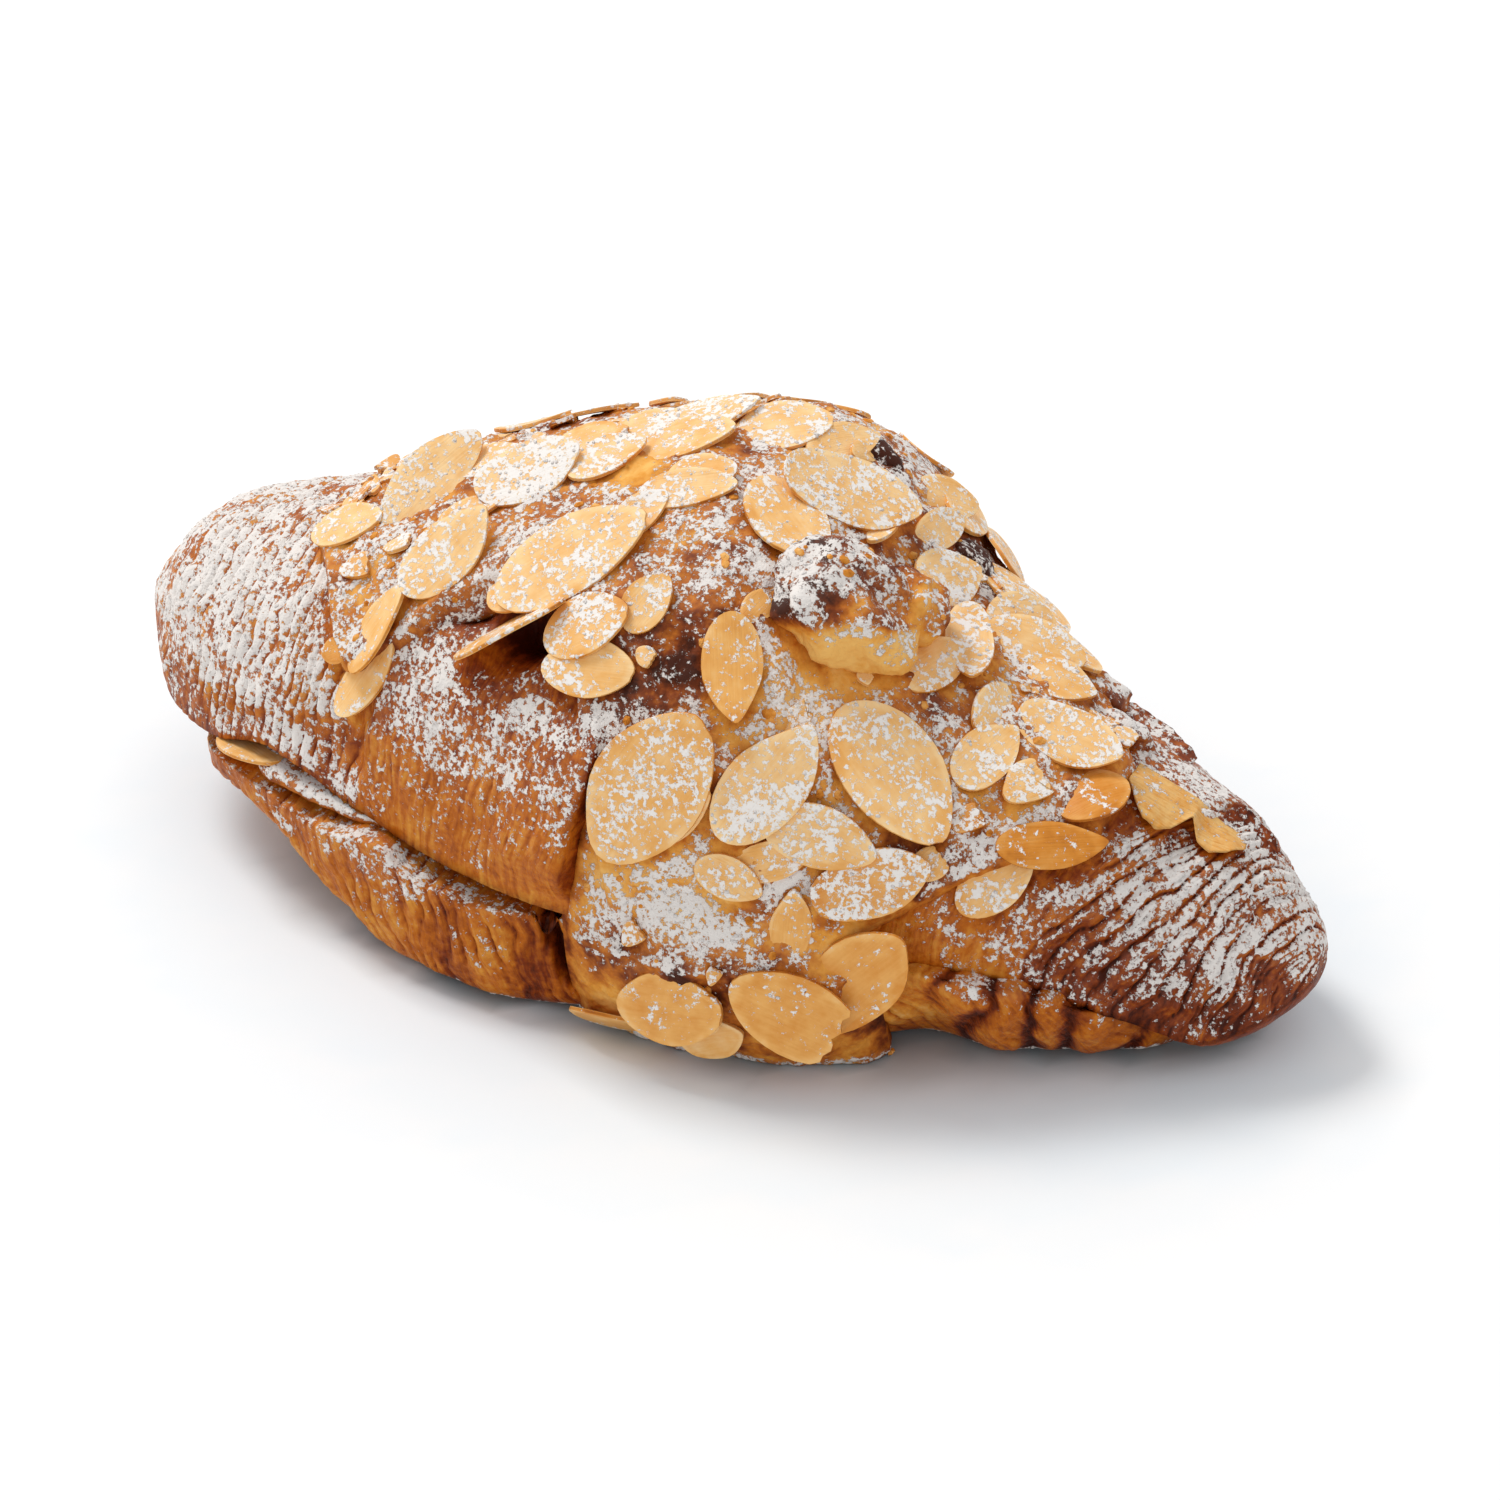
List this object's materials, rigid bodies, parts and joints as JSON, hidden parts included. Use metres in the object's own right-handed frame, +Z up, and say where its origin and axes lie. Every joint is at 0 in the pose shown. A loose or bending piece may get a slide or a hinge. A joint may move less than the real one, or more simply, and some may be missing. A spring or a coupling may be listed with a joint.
{
  "type": "almond croissant",
  "caption": "Twice-baked croissant, cut through, filled and topped with almond cream and covered with flaked almonds and icing sugar.",
  "frame": {"origin": "the surface that the croissant lies on, under the middle of its bounding box", "axes": "+X along the roll to its slimmer end, -Y the side where the cut and the filling show, +Z up"},
  "size_m": [0.1462, 0.0766, 0.06],
  "materials": {
    "pastry_sole": "baked pastry, golden, dusted along its rim",
    "almond_cream": "dull, slightly grainy",
    "pastry_crust": "baked pastry, brown, dusted with sugar",
    "baked_almonds": "pale sliced almonds in baked cream, dusted with sugar"
  },
  "bodies": {
    "root": {"lower_half": "pastry_sole", "filling": "almond_cream", "upper_half": "pastry_crust", "topping": "baked_almonds"}
  },
  "joints": []
}
